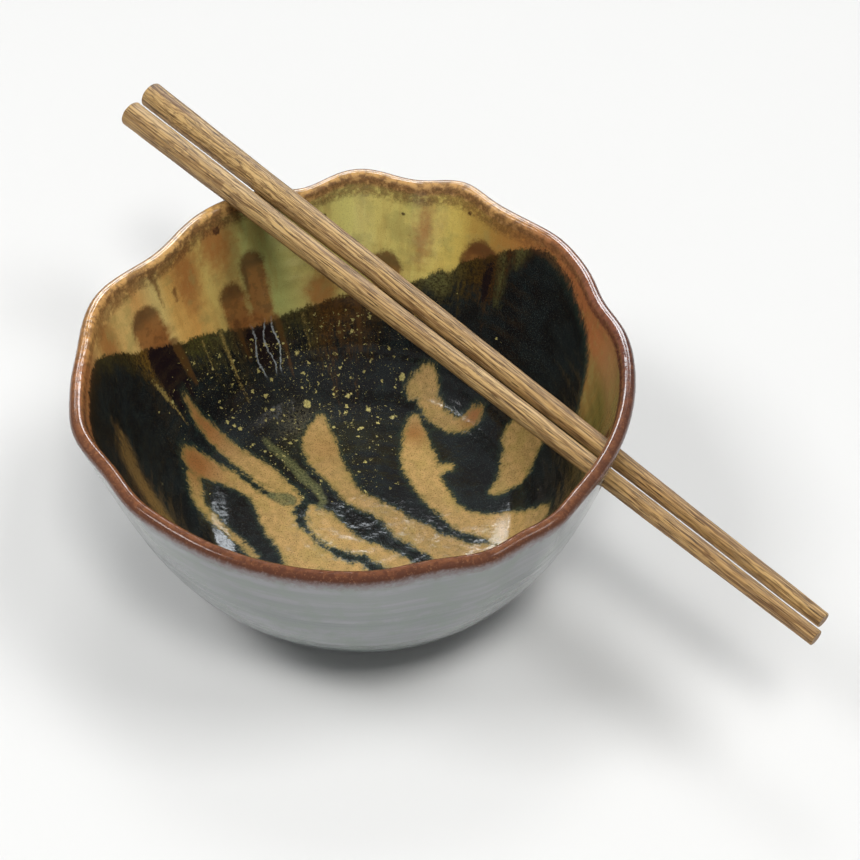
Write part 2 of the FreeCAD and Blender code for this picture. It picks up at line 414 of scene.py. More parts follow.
# Dark veins that part the tan strokes.
DARK_VEINS = [
    [(-24, 19, 1.6), (-20, 11, 1.4), (-17, 8, 1.4), (-16, 4, 1.5), (-18, 0, 2.0),
     (-17, -5, 1.5), (-14, -9, 0.8), (-12, -12, 1.0), (-8, -15, 1.2), (-5, -17, 1.7),
     (0, -18, 1.8), (3, -21, 1.8), (7, -25, 1.6), (11, -31, 1.5), (14, -38, 1.5)],
    [(-22, 22, 1.8), (-17, 15, 1.2), (-13, 10, 1.2), (-10, 7.5, 1.2), (-10.5, 4, 1.0),
     (-8, 2.5, 0.8), (-5, 1, 1.2), (-2, -3, 3.0), (1, -5, 4.0), (3, -8, 3.5),
     (7, -11, 2.3), (11, -14, 2.2), (15, -17, 2.5), (18, -20, 2.5), (24, -26, 2.0),
     (30, -34, 2.0)],
    [(9, 4, 3.0), (14, 2, 3.2), (18, -2, 3.0), (22, -6, 2.5), (26, -9, 1.8), (33, -11.5, 0.8)],
    [(-43, 18, 1.2), (-36, 15, 1.0), (-31, 10, 1.0), (-26, 6, 1.2)],
    [(-41, 4, 2.0), (-36, -2, 4.0), (-32, -8, 3.0), (-29, -12, 1.0)],
]

# Soft, half-covering stroke on the left wall, and the same in the near wall.
SOFT_STROKES = [
    [(-65, -3, 1.6), (-62, -10, 3.4), (-57, -14, 3.6), (-52, -18, 3.0), (-45, -23, 2.0)],
    [(-50, -36, 1.0), (-44, -42, 2.6), (-36, -47, 1.6)],
]

# Thin olive-green threads and the soft grey-green ends of tongues.
OLIVE_THREADS = [
    [(-28, 27, 0.8), (-22, 20, 1.3), (-17, 13, 1.5), (-13, 8, 1.2), (-11, 4, 1.0),
     (-12.5, 1, 0.8)],
    [(-26, 6, 1.0), (-22, 4.5, 2.4), (-20.5, 4.2, 1.8)],
]

# Larger buttons of pale glaze on the dark ground: x, y, radius.
BUTTONS = [(-16, 40, 1.1), (-4, 43, 0.7), (2, 39, 0.7), (9, 36, 0.6), (0, 32, 0.6),
           (12, 47, 0.8)]


# Runs on the wall, as (azimuth, depth, half width in millimetres).
GOLD_RUNS = [
    [(131.0, 34, 0.7), (131.0, 46, 0.6), (131.5, 58, 0.3)],
    [(158.5, 30, 0.3), (157.6, 35, 0.9), (156.4, 42, 0.6), (156.0, 50, 0.1)],
    [(137.5, 33, 0.3), (137.0, 47, 0.2)],
    [(106.0, 38, 0.5), (105.5, 50, 0.1)],
]
MOSS_RUNS = [
    [(51.8, 9, 1.2), (51.0, 17, 1.5), (50.6, 27, 0.5)],
    [(47.0, 6, 2.6), (47.5, 12, 0.8)],
    [(69.5, 26, 4.0), (67.5, 28, 3.4)],
]
UMBER_RUNS = [
    [(146.3, 0, 1.3), (145.7, 6, 0.6), (145.2, 15, 0.2)],
    [(140.8, 11.5, 0.7), (141.0, 15.5, 0.4)],
    [(146.5, 27, 1.8), (145.6, 34, 1.6), (145.0, 43, 0.4)],
    [(125.6, 34, 0.9), (124.8, 47, 0.3)],
    [(113.6, 37, 1.0), (113.0, 48, 0.6), (113.0, 56, 0.1)],
    [(90.0, 36, 0.9), (89.5, 52, 0.3)],
    [(96.0, 36, 0.7), (95.5, 50, 0.2)],
    [(62.8, 19, 0.8), (60.5, 14.5, 1.0), (57.5, 10.5, 1.2), (54.5, 12.5, 0.7)],
]
VOID_RUNS = [
    [(151.8, 27, 5.4), (151.4, 36, 5.2), (151.0, 43, 4.4)],
    [(122.0, 40, 2.2), (117.0, 40, 2.2), (119.5, 48, 3.6)],
    [(54.3, 15, 0.6), (54.8, 21, 1.4), (54.5, 27, 1.0)],
]
WALL_ARC = 1.15           # millimetres per degree of azimuth on the wall

# Rusty clouds in the upper glaze: azimuth, depth, half sizes along and down, strength.
RUST_CLOUDS = [
    (136.0, 11, 6.5, 14.0, 1.0), (166.5, 8, 6.0, 12.0, 1.0), (99.5, 32, 6.6, 6.6, 1.1),
    (73.0, 13, 3.4, 14.0, 0.8), (125.5, 8, 7.0, 11.0, 1.0), (149.5, 23, 5.2, 5.0, 1.0),
    (121.0, 36, 6.2, 3.6, 1.0), (158.0, 3, 5.0, 3.0, 0.7), (143.0, 4, 4.0, 3.5, 0.5),
    (57.5, 14, 3.0, 3.6, 0.9), (47.0, 3, 6.0, 2.0, 0.6), (90.0, 24, 3.0, 4.0, 0.6),
]

# Small iron pits near the lip: azimuth, v of the wall, radius.
PITS = [(124.0, 0.976, 1.15), (97.0, 0.955, 0.45), (78.2, 0.955, 0.4), (62.5, 0.975, 0.55)]

UPPER_GAIN = np.array((1.56, 1.70, 1.94))
UNDER_GAIN = 1.0


def stroke_field(strokes, x, y):
    """Signed distance into a set of tapered strokes, in millimetres."""
    best = np.full(np.shape(x), -60.0)
    for run in strokes:
        for (x0, y0, w0), (x1, y1, w1) in zip(run[:-1], run[1:]):
            dx, dy = x1 - x0, y1 - y0
            t = np.clip(((x - x0) * dx + (y - y0) * dy) / (dx * dx + dy * dy), 0.0, 1.0)
            away = np.hypot(x - x0 - t * dx, y - y0 - t * dy)
            best = np.maximum(best, w0 + (w1 - w0) * t - away)
    return best


def wall_field(runs, azimuth, depth):
    """Signed distance into runs that are laid out by azimuth and depth."""
    plan = [[(where * WALL_ARC, down, half) for where, down, half in run] for run in runs]
    return stroke_field(plan, azimuth * WALL_ARC, depth)


def cloud_field(azimuth, depth):
    """Strength of the rusty clouds."""
    best = np.zeros(np.shape(azimuth))
    for where, down, along, height, strength in RUST_CLOUDS:
        far = np.hypot((azimuth - where) * WALL_ARC / along, (depth - down) / height)
        best = np.maximum(best, strength * np.exp(-far ** 2))
    return best


def thumb_field(azimuth, depth):
    """Signed distance into the thumb-like drips, and how close their arched tops are."""
    best = np.full(np.shape(azimuth), -40.0)
    arch = np.zeros(np.shape(azimuth))
    for where, top, half in THUMBS:
        wide = math.radians(half) * 70.0
        off = np.radians(wrap(azimuth - where)) * 70.0
        down = depth - top - wide
        inside = wide - np.where(down > 0, np.abs(off), np.hypot(off, down))
        best = np.maximum(best, inside)
        rim = np.exp(-((depth - top) / 5.0) ** 2) * (np.abs(off) < wide * 1.6)
        arch = np.maximum(arch, rim)
    return best, arch


# ================================================================ bowl mesh

def bowl_mesh():
    """The whole bowl as one closed skin, with its glaze layout stored on the vertices."""
    rows = bowl_profile()
    part, radius, height, v = rows.T
    count = len(rows)
    azimuths = np.arange(AZIMUTH_STEPS) * 360.0 / AZIMUTH_STEPS
    AZ, PART = np.meshgrid(azimuths, part)
    V = np.repeat(v[:, None], AZIMUTH_STEPS, 1)
    R = np.repeat(radius[:, None], AZIMUTH_STEPS, 1)
    Z = np.repeat(height[:, None], AZIMUTH_STEPS, 1)
    Z = Z + np.where(PART == 4, floor_rings(R, AZ), 0.0)
    points = skin_point(R, Z, V, AZ)
    for side, number in ((False, 1), (True, 3)):
        pick = PART == number
        points[pick] = surface(side, V[pick], AZ[pick])

    # distance along the skin from the top of the lip
    run = np.concatenate([[0.0], np.cumsum(np.hypot(np.diff(radius), np.diff(height)))])
    top = np.argmax(height)
    edge = run - run[top]
    EDGE = np.repeat(edge[:, None], AZIMUTH_STEPS, 1)

    verts = [points.reshape(-1, 3)]
    fields = {"az": [AZ.ravel()], "edge": [EDGE.ravel()], "part": [PART.ravel()],
              "v": [V.ravel()], "hole": [np.full(AZ.size, 30.0)]}
    total = AZ.size

    def index(j, i):
        return j * AZIMUTH_STEPS + i % AZIMUTH_STEPS

    # block of cells around the slot, the same v range outside and inside
    pair = pair_frame()
    outer_rows = np.where(part == 1)[0]
    inner_rows = np.where(part == 3)[0]
    margin_a = SLOT_HALF_FLAT + SLOT_HALF_HEIGHT + 3.2
    margin_b = SLOT_HALF_HEIGHT + 2.6
    use_v, use_i = [], []
    for rows_here in (outer_rows, inner_rows):
        a, b = plane_coords(points[rows_here], pair)
        ahead = (points[rows_here] - pair[0]) @ pair[1] > 60.0
        hit = (np.abs(a) < margin_a) & (np.abs(b) < margin_b) & ahead
        jj, ii = np.where(hit)
        use_v += list(v[rows_here][jj])
        use_i += list((ii + AZIMUTH_STEPS // 2) % AZIMUTH_STEPS)
    low_i, high_i = min(use_i) - AZIMUTH_STEPS // 2, max(use_i) - AZIMUTH_STEPS // 2
    low_v, high_v = min(use_v), max(use_v)
    jo = [j for j in outer_rows if low_v - 1e-9 <= v[j] <= high_v + 1e-9]
    ji = [j for j in inner_rows if low_v - 1e-9 <= v[j] <= high_v + 1e-9][::-1]
    columns = list(range(low_i, high_i + 1))
    loop = [(0, i) for i in columns] + [(k, columns[-1]) for k in range(1, len(jo))]
    loop += [(len(jo) - 1, i) for i in columns[-2::-1]]
    loop += [(k, columns[0]) for k in range(len(jo) - 2, 0, -1)]

    faces = []
    skip_outer = {(j, i % AZIMUTH_STEPS) for j in jo[:-1] for i in columns[:-1]}
    skip_inner = {(j, i % AZIMUTH_STEPS) for j in ji[1:] for i in columns[:-1]}
    skip = skip_outer | skip_inner
    grid = np.arange(AZIMUTH_STEPS)
    for j in range(count - 1):
        for i in grid:
            if (j, i) in skip:
                continue
            faces.append((index(j, i), index(j, i + 1), index(j + 1, i + 1), index(j + 1, i)))

    # chain of loops from the outer block, through the slot, to the inner block
    def block(rows_here):
        ids = [index(rows_here[k], i) for k, i in loop]
        return np.array(ids)

    def lead_in(inside, ids):
        flat = points.reshape(-1, 3)[ids]
        v0 = fields["v"][0][ids]
        az0 = wrap(fields["az"][0][ids])
        a, b = plane_coords(flat, pair)
        oa, ob = slot_outline(a, b, SLOT_EDGE_ROUND)
        v1, az1 = find_on_wall(inside, oa, ob, pair)
        loops = []
        for w in (0.3, 0.55, 0.75, 0.9, 1.0):
            vv, aa = v0 + (v1 - v0) * w, az0 + (az1 - az0) * w
            away = np.full(len(ids), (1.0 - w) * 3.0 + SLOT_EDGE_ROUND)
            loops.append((surface(inside, vv, aa), vv, aa, away))
        ca, cb = slot_outline(a, b, 0.0)
        vc, ac = find_on_wall(inside, ca, cb, pair)
        corner = surface(inside, vc, ac)
        depth = pair[1] * SLOT_EDGE_ROUND * (1.0 if inside else -1.0)
        start, end = loops[-1][0], corner + depth
        for t in (0.25, 0.5, 0.75, 1.0):
            q = start * (1 - t) ** 2 + corner * 2 * t * (1 - t) + end * t ** 2
            loops.append((q, vc, ac, np.full(len(ids), SLOT_EDGE_ROUND * (1 - t))))
        return loops

    ids_out, ids_in = block(jo), block(ji)
    outer_loops = lead_in(False, ids_out)
    inner_loops = lead_in(True, ids_in)
    edge_of_v_out = lambda q: np.interp(q, v[outer_rows], edge[outer_rows])
    edge_of_v_in = lambda q: np.interp(q, v[inner_rows][::-1], edge[inner_rows][::-1])
    chain = [ids_out]

    def add(position, vv, aa, away, edge_value, number):
        nonlocal total
        n = len(position)
        verts.append(position)
        fields["az"].append(aa)
        fields["edge"].append(edge_value)
        fields["part"].append(np.full(n, float(number)))
        fields["v"].append(vv)
        fields["hole"].append(away)
        chain.append(np.arange(total, total + n))
        total += n

    for position, vv, aa, away in outer_loops:
        add(position, vv, aa, away, edge_of_v_out(vv), 1)
    start, end = outer_loops[-1], inner_loops[-1]
    for t in (0.33, 0.66):
        add(start[0] + (end[0] - start[0]) * t, start[1], start[2], np.zeros(len(start[1])),
            edge_of_v_in(start[1]), 3)
    for position, vv, aa, away in inner_loops[::-1]:
        add(position, vv, aa, away, edge_of_v_in(vv), 3)
    chain.append(ids_in)
    for first, second in zip(chain[:-1], chain[1:]):
        n = len(first)
        for k in range(n):
            m = (k + 1) % n
            faces.append((first[k], first[m], second[m], second[k]))

    # poles: the middle of the floor and of the recess
    for j, z, flip in ((0, FOOT_HEIGHT, True), (count - 1, FOOT_HEIGHT + WALL, False)):
        add(np.array([[0.0, 0.0, z]]), np.zeros(1), np.zeros(1), np.full(1, 30.0),
            np.array([edge[0] - 3.0 if flip else edge[-1] + 1.0]), part[j])
        middle = total - 1
        for i in range(AZIMUTH_STEPS):
            a, b = index(j, i), index(j, i + 1)
            faces.append((middle, b, a) if flip else (a, b, middle))

    xyz = np.concatenate(verts)
    data = {k: np.concatenate(f) for k, f in fields.items()}
    drop = set(range(total)) - set(np.concatenate([np.array(f) for f in faces]).tolist())
    keep = np.ones(total, bool)
    keep[list(drop)] = False
    new_id = np.cumsum(keep) - 1
    faces = [tuple(int(new_id[q]) for q in f) for f in faces]
    return xyz[keep], faces, {k: d[keep] for k, d in data.items()}, edge, part


def glaze_fields(xyz, data, edge, part):
    """Everything the glaze shader reads from the vertices."""
    azimuth = wrap(data["az"])
    inner_edge = edge[np.where(part == 3)[0][0]]
    depth = data["edge"] - inner_edge
    x, y = xyz[:, 0], xyz[:, 1]
    inside = data["edge"] > 0.0

    dip_depth, = around(DIP_LINE, azimuth)
    dip = np.clip(dip_depth - depth, -60.0, 60.0)
    tan = stroke_field(TAN_STROKES, x, y)
    vein = stroke_field(DARK_VEINS, x, y)
    olive = stroke_field(OLIVE_THREADS, x, y)
    soft = stroke_field(SOFT_STROKES, x, y)
    tan = np.maximum(tan, -12.0)
    thumb, arch = thumb_field(azimuth, depth)
    tints = around(WALL_TINTS, azimuth)
    lip = around(LIP_TINTS, azimuth)

    # redder towards the lip on the right, olive further down
    upper = linear(np.stack(tints[0:3], -1)) * UPPER_GAIN
    under = linear(np.stack(tints[3:6], -1)) * UNDER_GAIN
    reach = tints[6]
    olive_low = np.exp(-(wrap(azimuth + 2.0) / 17.0) ** 2) * smooth(9.0, 17.0, depth)
    upper = upper * (1 - olive_low[:, None]) + linear((128, 116, 58)) * olive_low[:, None]

    angle = np.radians(azimuth)
    flow = np.stack([70.0 * np.cos(angle), 70.0 * np.sin(angle), depth], -1)
    speck = smooth(24.0, 40.0, depth) * (np.exp(-(wrap(azimuth - 112.0) / 42.0) ** 4) * 0.9 + 0.05)
    speck = speck * smooth(2.0, 6.0, -dip)
    orange = np.exp(-(np.hypot(x + 47, y - 13) / 7.0) ** 2)
    orange = np.maximum(orange, np.exp(-(np.hypot(x - 33, y - 33) / 4.0) ** 2))
    orange = np.maximum(orange, 0.8 * np.exp(-(np.hypot(x - 15.5, y - 30) / 4.5) ** 2))
    orange = np.maximum(orange, 0.30 * np.exp(-(np.hypot(x + 10, y - 24) / 5.0) ** 2))
    orange = np.maximum(orange, 0.9 * np.exp(-(np.hypot(x + 45, y - 25) / 8.0) ** 2))
    # painted reflection: three wavering pale threads where a lamp reflects in the drips on the
    # back-left wall
    reflection_threads = {}
    for key, where, wave, turn in (("reflection_thread_a", 122.0, 0.7, 0.3), ("reflection_thread_b", 118.2, 0.9, 2.0),
                                   ("reflection_thread_c", 115.2, 0.7, 4.1)):
        path = wave * np.sin(depth * 0.42 + turn) + (depth - 45.0) * 0.05
        reflection_threads[key] = np.clip(np.radians(wrap(azimuth - where)) * 62.0 - path, -9.0, 9.0)
    reflection_threads["reflection_thread_span"] = smooth(37.0, 39.0, depth) * (1.0 - smooth(52.0, 54.5, depth))
    # painted reflection: a dull pale patch on the lower back-left wall where a lamp's reflection falls
    painted_lamp_reflection = np.exp(-(np.hypot((x + 18) / 1.2, (y - 33)) / 6.0) ** 2)
    return {
        "gold": wall_field(GOLD_RUNS, azimuth, depth),
        "umber": wall_field(UMBER_RUNS, azimuth, depth),
        "moss": wall_field(MOSS_RUNS, azimuth, depth),
        "void": wall_field(VOID_RUNS, azimuth, depth),
        "rust": cloud_field(azimuth, depth),
        "feather": np.exp(-(wrap(azimuth + 6.0) / 42.0) ** 4),
        "vein": np.maximum(vein, -12.0), "dip": dip, "tan": tan, "soft": soft, "olive": olive,
        "thumb": thumb, "arch": arch, "reach": reach,
        "stripe": lip[3], "depth": depth, "edge": data["edge"], "hole": data["hole"],
        "speck": speck, "orange": orange, "painted_reflection_patch": painted_lamp_reflection,
        "upper": upper, "under": under, "lip": linear(np.stack(lip[0:3], -1)),
        "flow": flow, "inside": inside.astype(float),
        "foot": (data["part"] == 0).astype(float), **reflection_threads,
    }


def make_object(name, xyz, faces, fields, material):
    mesh = bpy.data.meshes.new(name)
    mesh.from_pydata([tuple(p) for p in np.asarray(xyz) * METRES], [], faces)
    mesh.validate()
    mesh.update()
    for key, values in fields.items():
        values = np.asarray(values, np.float32)
        if values.ndim == 1:
            layer = mesh.attributes.new(key, "FLOAT", "POINT")
            layer.data.foreach_set("value", values)
        elif key in ("upper", "under", "lip"):
            layer = mesh.attributes.new(key, "FLOAT_COLOR", "POINT")
            full = np.concatenate([values, np.ones((len(values), 1), np.float32)], 1)
            layer.data.foreach_set("color", full.ravel())
        else:
            layer = mesh.attributes.new(key, "FLOAT_VECTOR", "POINT")
            layer.data.foreach_set("vector", values.ravel())
    mesh.polygons.foreach_set("use_smooth", [True] * len(mesh.polygons))
    mesh.materials.append(material)
    obj = bpy.data.objects.new(name, mesh)
    bpy.context.scene.collection.objects.link(obj)
    return obj


# ================================================================ shader graphs

class Graph:
    """Short way to write a node tree. Inputs may be sockets, numbers or tuples."""

    def __init__(self, name):
        self.material = bpy.data.materials.new(name)
        self.material.use_nodes = True
        self.tree = self.material.node_tree
        self.tree.nodes.clear()

    def node(self, kind, inputs=None, **settings):
        made = self.tree.nodes.new(kind)
        for key, value in settings.items():
            setattr(made, key, value)
        for key, value in (inputs or {}).items():
            self.plug(made.inputs[key], value)
        return made

    def plug(self, socket, value):
        if isinstance(value, bpy.types.NodeSocket):
            self.tree.links.new(value, socket)
        else:
            socket.default_value = value

    def math(self, operation, a, b=0.0, c=0.0, clamp=False):
        made = self.node("ShaderNodeMath", {0: a, 1: b, 2: c}, operation=operation)
        made.use_clamp = clamp
        return made.outputs[0]

    def add(self, a, b):
        return self.math("ADD", a, b)

    def sub(self, a, b):
        return self.math("SUBTRACT", a, b)

    def mul(self, a, b):
        return self.math("MULTIPLY", a, b)

    def step(self, x, low, high, top=1.0):
        """Smooth rise from 0 at low to top at high."""
        made = self.node("ShaderNodeMapRange", {"Value": x, "From Min": low, "From Max": high,
                         "To Min": 0.0, "To Max": top}, interpolation_type="SMOOTHSTEP")
        return made.outputs[0]

    def mix(self, factor, a, b, blend="MIX"):
        made = self.tree.nodes.new("ShaderNodeMix")
        made.data_type = "RGBA"
        made.blend_type = blend
        self.plug(made.inputs[0], factor)
        self.plug(made.inputs[6], a)
        self.plug(made.inputs[7], b)
        return made.outputs[2]

    def blend(self, factor, a, b):
        made = self.tree.nodes.new("ShaderNodeMix")
        made.data_type = "FLOAT"
        self.plug(made.inputs[0], factor)
        self.plug(made.inputs[2], a)
        self.plug(made.inputs[3], b)
        return made.outputs[0]

    def value(self, name):
        return self.node("ShaderNodeAttribute", attribute_name=name).outputs["Fac"]

    def colour(self, name):
        return self.node("ShaderNodeAttribute", attribute_name=name).outputs["Color"]

    def vector(self, name):
        return self.node("ShaderNodeAttribute", attribute_name=name).outputs["Vector"]

    def scaled(self, vector, factor):
        made = self.node("ShaderNodeVectorMath", {0: vector, 1: factor}, operation="MULTIPLY")
        return made.outputs[0]

    def noise(self, vector, scale, detail=3.0, rough=0.55, twist=0.0):
        made = self.node("ShaderNodeTexNoise", {"Vector": vector, "Scale": scale, "Detail": detail,
                         "Roughness": rough, "Distortion": twist})
        return made.outputs["Fac"]

    def centred(self, value, size):
        """Noise value moved to swing about 0, times size."""
        return self.mul(self.sub(value, 0.5), size)

    def bump(self, height, strength, distance, normal=None):
        inputs = {"Height": height, "Strength": strength, "Distance": distance}
        if normal is not None:
            inputs["Normal"] = normal
        return self.node("ShaderNodeBump", inputs).outputs[0]

    def finish(self, **inputs):
        shader = self.node("ShaderNodeBsdfPrincipled",
                           {key.replace("_", " "): value for key, value in inputs.items()})
        out = self.node("ShaderNodeOutputMaterial")
        self.tree.links.new(shader.outputs[0], out.inputs[0])
        return self.material


def glaze_material():
    g = Graph("glaze_layers")
    place = g.scaled(g.node("ShaderNodeTexCoord").outputs["Object"], (1000.0,) * 3)
    flow = g.vector("flow")
    sand = g.noise(place, 4.2, 2.0, 0.7)
    grit = g.noise(place, 2.6, 1.0, 0.5)
    fine = g.noise(place, 1.5, 4.0, 0.65)
    mid = g.noise(place, 0.50, 4.0, 0.6)
    cloud = g.noise(place, 0.13, 3.0, 0.6)
    drape = g.noise(g.scaled(flow, (1.0, 1.0, 0.24)), 0.20, 4.0, 0.65)
    thread = g.noise(g.scaled(flow, (1.0, 1.0, 0.26)), 1.1, 3.0, 0.65)

    dip = g.value("dip")
    edge = g.value("edge")
    depth = g.value("depth")
    inner_side = g.value("inside")

    # dark ground: black with blue, green and grey breaks, a fine grey dust, and a painted reflection of
    # a lamp on the lower back-left wall
    dark = g.mix(g.step(cloud, 0.40, 0.64), rgba((20, 20, 21)), rgba((28, 33, 34)))
    dark = g.mix(g.step(mid, 0.54, 0.70, 0.5), dark, rgba((34, 44, 42)))
    dark = g.mix(g.step(grit, 0.58, 0.72, 0.40), dark, rgba((58, 66, 62)))
    dark = g.mix(g.step(sand, 0.58, 0.72, 0.45), dark, rgba((92, 94, 88)))
    # painted reflection of a lamp, mixed into the dark ground near the back-left floor edge
    dark = g.mix(g.mul(g.value("painted_reflection_patch"), g.step(fine, 0.38, 0.62)), dark, rgba((92, 88, 70)))

    # translucent colour just below the dip line, mottled and running down
    border = g.add(dip, g.add(g.centred(fine, 3.2), g.centred(mid, 3.0)))
    under = g.mix(g.step(fine, 0.36, 0.62, 0.7), g.colour("under"), rgba((30, 24, 18)))
    under = g.mix(g.step(thread, 0.50, 0.68, 0.5), under, rgba((44, 30, 20)))
    fall = g.mul(g.value("reach"), g.math("MULTIPLY_ADD", drape, 4.0, -0.4))
    gone = g.math("DIVIDE", g.mul(border, -1.0), g.math("MAXIMUM", fall, 1.5))
    gone = g.add(gone, g.add(g.centred(thread, 1.4), g.centred(mid, 1.2)))
    umber = g.add(g.value("umber"), g.add(g.centred(fine, 1.6), g.centred(mid, 1.2)))
    umber = g.step(umber, -0.7, 0.5)
    lower = g.mix(g.step(gone, 0.05, 1.0), under, dark)
    lower = g.mix(g.mul(umber, 0.65), lower, rgba((96, 66, 32)))
    moss = g.add(g.value("moss"), g.add(g.centred(fine, 3.0), g.centred(thread, 5.0)))
    moss_tone = g.mix(g.step(fine, 0.40, 0.62), rgba((98, 96, 56)), rgba((58, 52, 30)))
    lower = g.mix(g.step(moss, -1.6, 2.0, 0.85), lower, moss_tone)
    void = g.add(g.value("void"), g.add(g.centred(fine, 1.8), g.centred(mid, 1.5)))
    lower = g.mix(g.step(void, -0.5, 0.5, 0.9), lower, rgba((27, 18, 22)))

    # upper honey glaze: broad runs of olive, yellow and orange, grainy up close
    tone = g.mix(g.step(drape, 0.44, 0.66, 0.30), g.colour("upper"), rgba((176, 122, 62)))
    rust = g.add(g.value("rust"), g.add(g.centred(mid, 0.7), g.centred(cloud, 0.8)))
    tone = g.mix(g.step(rust, 0.15, 0.95, 0.86), tone, rgba((176, 118, 64)))
    tone = g.mix(g.step(thread, 0.52, 0.70, 0.12), tone, rgba((196, 180, 112)))
    tone = g.mix(g.step(cloud, 0.48, 0.66, 0.40), tone, rgba((164, 156, 92)))
    tone = g.mix(g.step(sand, 0.50, 0.72, 0.40), tone, rgba((126, 94, 50)))
    tone = g.mix(g.step(fine, 0.62, 0.74, 0.55), tone, rgba((112, 74, 40)))
    spot_edge = g.add(g.value("thumb"), g.add(g.centred(fine, 2.0), g.centred(mid, 3.0)))
    spot = g.mix(g.step(g.value("arch"), 0.05, 0.7), rgba((152, 98, 52)), rgba((92, 60, 36)))
    spot = g.mix(g.step(mid, 0.46, 0.60, 0.6), spot, rgba((108, 70, 40)))
    tone = g.mix(g.step(spot_edge, -1.5, 1.0, 0.88), tone, spot)
    tone = g.mix(g.mul(umber, 0.75), tone, rgba((108, 70, 40)))

    upper_here = g.step(g.add(border, g.centred(thread, 3.0)), -0.9, 0.6)
    feathered = g.step(g.add(border, g.centred(thread, 9.0)), -3.4, 2.6)
    upper_here = g.blend(g.value("feather"), upper_here, feathered)
    ground = g.mix(upper_here, lower, tone)
    cold = g.mul(g.step(border, -6.5, -0.8), g.sub(1.0, upper_here))
    ground = g.mix(g.mul(g.mul(cold, g.value("feather")), 0.75), ground, rgba((48, 68, 60)))

    # tan strokes with a feathered edge, an olive rim and a blue-green halo
    wander = g.add(g.centred(fine, 2.2), g.add(g.centred(sand, 1.3), g.centred(mid, 2.4)))
    wander = g.add(wander, g.centred(thread, 2.6))
    crisp = g.add(g.centred(mid, 4.4), g.centred(fine, 2.6))
    outside_vein = g.add(g.sub(0.3, g.value("vein")), crisp)
    ragged = g.math("MINIMUM", g.add(g.value("tan"), wander), outside_vein)
    below = g.step(g.mul(border, -1.0), -1.0, 1.5)
    halo = g.step(ragged, -2.0, 0.2)
    ground = g.mix(g.mul(g.mul(halo, below), 0.60), ground, rgba((48, 62, 50)))
    tan = g.mix(g.step(mid, 0.38, 0.60), rgba((172, 142, 88)), rgba((194, 158, 100)))
    tan = g.mix(g.step(cloud, 0.46, 0.66, 0.5), tan, rgba((166, 146, 82)))
    tan = g.mix(g.math("MULTIPLY", g.value("orange"), 0.9), tan, rgba((152, 96, 52)))
    tan = g.mix(g.step(sand, 0.50, 0.64, 0.50), tan, rgba((120, 98, 60)))
    tan = g.mix(g.step(grit, 0.57, 0.68, 0.60), tan, rgba((96, 76, 44)))
    tan = g.mix(g.step(fine, 0.60, 0.72, 0.45), tan, rgba((136, 92, 50)))
    tan = g.mix(g.step(g.mul(ragged, -1.0), -1.5, -0.1, 0.6), tan, rgba((112, 106, 58)))
    inside_tan = g.mul(g.step(ragged, -0.45, 0.45), below)
    ground = g.mix(inside_tan, ground, tan)
    veil = g.add(g.value("soft"), g.add(g.centred(thread, 3.0), g.centred(mid, 4.0)))
    cover = g.mul(g.step(veil, -1.6, 2.4, 0.66), below)
    ground = g.mix(cover, ground, g.mix(g.step(sand, 0.45, 0.65), rgba((158, 124, 70)),
                                        rgba((98, 78, 44))))
    olive_line = g.add(g.value("olive"), g.add(g.centred(fine, 2.6), g.centred(mid, 2.0)))
    olive = g.mix(g.step(fine, 0.42, 0.60), rgba((118, 118, 78)), rgba((66, 70, 48)))
    ground = g.mix(g.mul(g.step(olive_line, -0.8, 0.6, 0.85), below), ground, olive)

    gold = g.add(g.value("gold"), g.add(g.centred(fine, 3.4), g.centred(sand, 1.6)))
    gilt = g.mix(g.step(sand, 0.42, 0.60), rgba((178, 156, 92)), rgba((112, 92, 48)))
    ground = g.mix(g.mul(g.step(gold, -0.3, 0.5, 0.85), below), ground, gilt)
    for azimuth, v, size in PITS:
        spot = tuple(float(c) for c in surface(True, v, azimuth))
        far = g.node("ShaderNodeVectorMath", {0: place, 1: spot}, operation="DISTANCE")
        pit = g.sub(size, g.add(far.outputs["Value"], g.centred(fine, 1.2)))
        ground = g.mix(g.step(pit, -0.4, 0.2, 0.85), ground, rgba((58, 36, 30)))

    # pale specks on the dark ground, three sizes, never quite round
    jitter = g.node("ShaderNodeTexNoise", {"Vector": place, "Scale": 1.7, "Detail": 1.0})
    jitter = g.scaled(jitter.outputs["Color"], (1.5, 1.5, 1.5))
    warped = g.node("ShaderNodeVectorMath", {0: place, 1: jitter}, operation="ADD").outputs[0]
    dots = 0.0
    for scale, big, share in ((0.55, 0.34, 0.0), (1.25, 0.31, 0.12), (2.9, 0.26, 0.30)):
        cells = g.node("ShaderNodeTexVoronoi", {"Vector": warped, "Scale": scale})
        pick = g.node("ShaderNodeSeparateColor", {"Color": cells.outputs["Color"]})
        size = g.mul(g.math("POWER", pick.outputs[0], 2.0), big)
        dot = g.step(g.sub(size, cells.outputs["Distance"]), -0.03, 0.03)
        chosen = g.step(g.sub(g.value("speck"), pick.outputs[1]), share, share + 0.04)
        dots = g.math("MAXIMUM", g.mul(dot, chosen), dots)
    for x, y, r in BUTTONS:
        flat = g.scaled(place, (1.0, 1.0, 0.0))
        away = g.node("ShaderNodeVectorMath", {0: flat, 1: (x, y, 0.0)}, operation="DISTANCE")
        near = g.sub(r, g.add(away.outputs["Value"], g.centred(fine, 1.6)))
        dots = g.math("MAXIMUM", g.mul(g.step(near, -0.15, 0.2), inner_side), dots)
    dots = g.mul(dots, g.sub(1.0, inside_tan))
    ground = g.mix(dots, ground, g.mix(g.step(fine, 0.4, 0.6), rgba((196, 184, 116)),
                                       rgba((150, 140, 84))))
